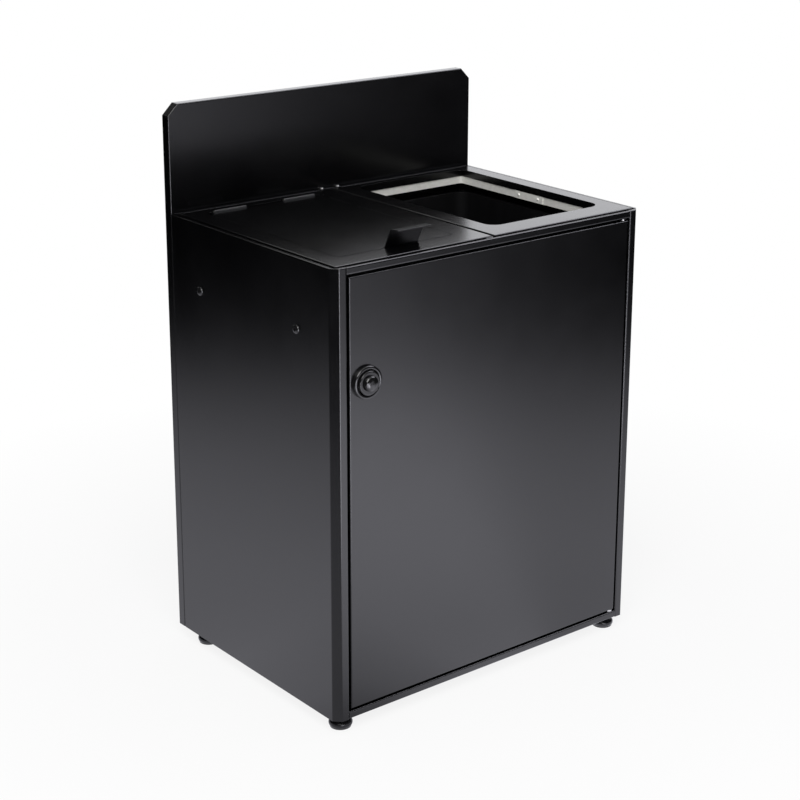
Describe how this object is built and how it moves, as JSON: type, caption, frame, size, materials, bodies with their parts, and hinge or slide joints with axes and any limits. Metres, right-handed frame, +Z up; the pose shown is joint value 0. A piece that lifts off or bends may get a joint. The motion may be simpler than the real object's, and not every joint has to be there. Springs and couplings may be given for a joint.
{
  "type": "recycling bin",
  "caption": "Floor-standing two-stream recycling cabinet in black sheet steel: lidded throat, open throat, hinged door with push knob, raised back board, levelling feet.",
  "frame": {"origin": "on the floor, under the middle of the bounding box", "axes": "+Z up, front with the door towards -Y, open throat towards +X"},
  "size_m": [0.6172, 0.4576, 0.9],
  "materials": {
    "black_coat": "satin black powder coat",
    "bright_steel": "bright galvanised strip",
    "zinc_steel": "zinc plated",
    "gloss_black": "gloss black",
    "foot_black": "glossy moulded",
    "liner_black": "fine-textured polyethylene",
    "rubber": "matt",
    "nylon": "black nylon"
  },
  "bodies": {
    "cabinet": {"left_side_panel": "black_coat", "right_side_panel": "black_coat", "back_panel": "black_coat", "back_stiffener": "black_coat", "base_panel": "black_coat", "sill_rail": "black_coat", "header_rail": "black_coat", "rear_rail": "black_coat", "centre_rail": "black_coat", "left_deck": "black_coat", "right_deck": "black_coat", "left_guide_rail": "black_coat", "right_guide_rail": "black_coat", "deck_clip": "black_coat", "fixed_hinge_leaves": "black_coat", "left_collar": "bright_steel", "right_collar": "bright_steel", "collar_clips": "bright_steel", "collar_rivets": "bright_steel", "side_nuts": "zinc_steel", "deck_clip_screws": "zinc_steel", "strike_plate": "zinc_steel", "lid_hinge_pins": "zinc_steel", "pivot_washer": "zinc_steel", "foot_nuts": "zinc_steel", "side_bolts": "gloss_black", "back_screws": "gloss_black", "left_liner": "liner_black", "right_liner": "liner_black", "door_bumpers": "rubber", "lid_bumpers": "rubber", "upper_bush": "nylon", "lower_bush": "nylon"},
    "door": {"door_panel": "black_coat", "door_stiffener": "black_coat", "upper_pivot_pin": "zinc_steel", "lower_pivot_pin": "zinc_steel", "knob_bezel": "gloss_black", "bezel_nut": "zinc_steel", "lock_case": "zinc_steel", "knob_spring": "zinc_steel"},
    "knob": {"push_knob": "gloss_black"},
    "bolt": {"latch_bolt": "zinc_steel"},
    "lid": {"lid_panel": "black_coat", "lid_handle": "black_coat", "lid_hinge_leaves": "black_coat"},
    "front_left_foot": {"front_left_pad": "foot_black", "front_left_stem": "zinc_steel"},
    "front_right_foot": {"front_right_pad": "foot_black", "front_right_stem": "zinc_steel"},
    "rear_left_foot": {"rear_left_pad": "foot_black", "rear_left_stem": "zinc_steel"},
    "rear_right_foot": {"rear_right_pad": "foot_black", "rear_right_stem": "zinc_steel"}
  },
  "joints": [
    {"name": "door_hinge", "type": "hinge", "parent": "cabinet", "child": "door", "pos_m": [0.271, -0.20525, 0.37525], "axis": [0, 0, 1], "range_deg": [0, 105]},
    {"name": "knob_push", "type": "slide", "parent": "door", "child": "knob", "axis": [0, 1, 0], "range_m": [0, 0.009], "stiffness_N_per_m": 500, "springref_m": -0.003, "deforming": ["knob_spring"]},
    {"name": "bolt_slide", "type": "slide", "parent": "door", "child": "bolt", "axis": [-1, 0, 0], "range_m": [0, 0.009]},
    {"name": "lid_hinge", "type": "hinge", "parent": "cabinet", "child": "lid", "pos_m": [-0.152, 0.17775, 0.73], "axis": [-1, 0, 0], "range_deg": [0, 100]},
    {"name": "front_left_levelling", "type": "slide", "parent": "cabinet", "child": "front_left_foot", "axis": [0, 0, -1], "range_m": [0, 0.012]},
    {"name": "front_right_levelling", "type": "slide", "parent": "cabinet", "child": "front_right_foot", "axis": [0, 0, -1], "range_m": [0, 0.012]},
    {"name": "rear_left_levelling", "type": "slide", "parent": "cabinet", "child": "rear_left_foot", "axis": [0, 0, -1], "range_m": [0, 0.012]},
    {"name": "rear_right_levelling", "type": "slide", "parent": "cabinet", "child": "rear_right_foot", "axis": [0, 0, -1], "range_m": [0, 0.012]}
  ],
  "couplings": [
    {"joint": "bolt_slide", "follows": "knob_push", "ratio": 1}
  ]
}
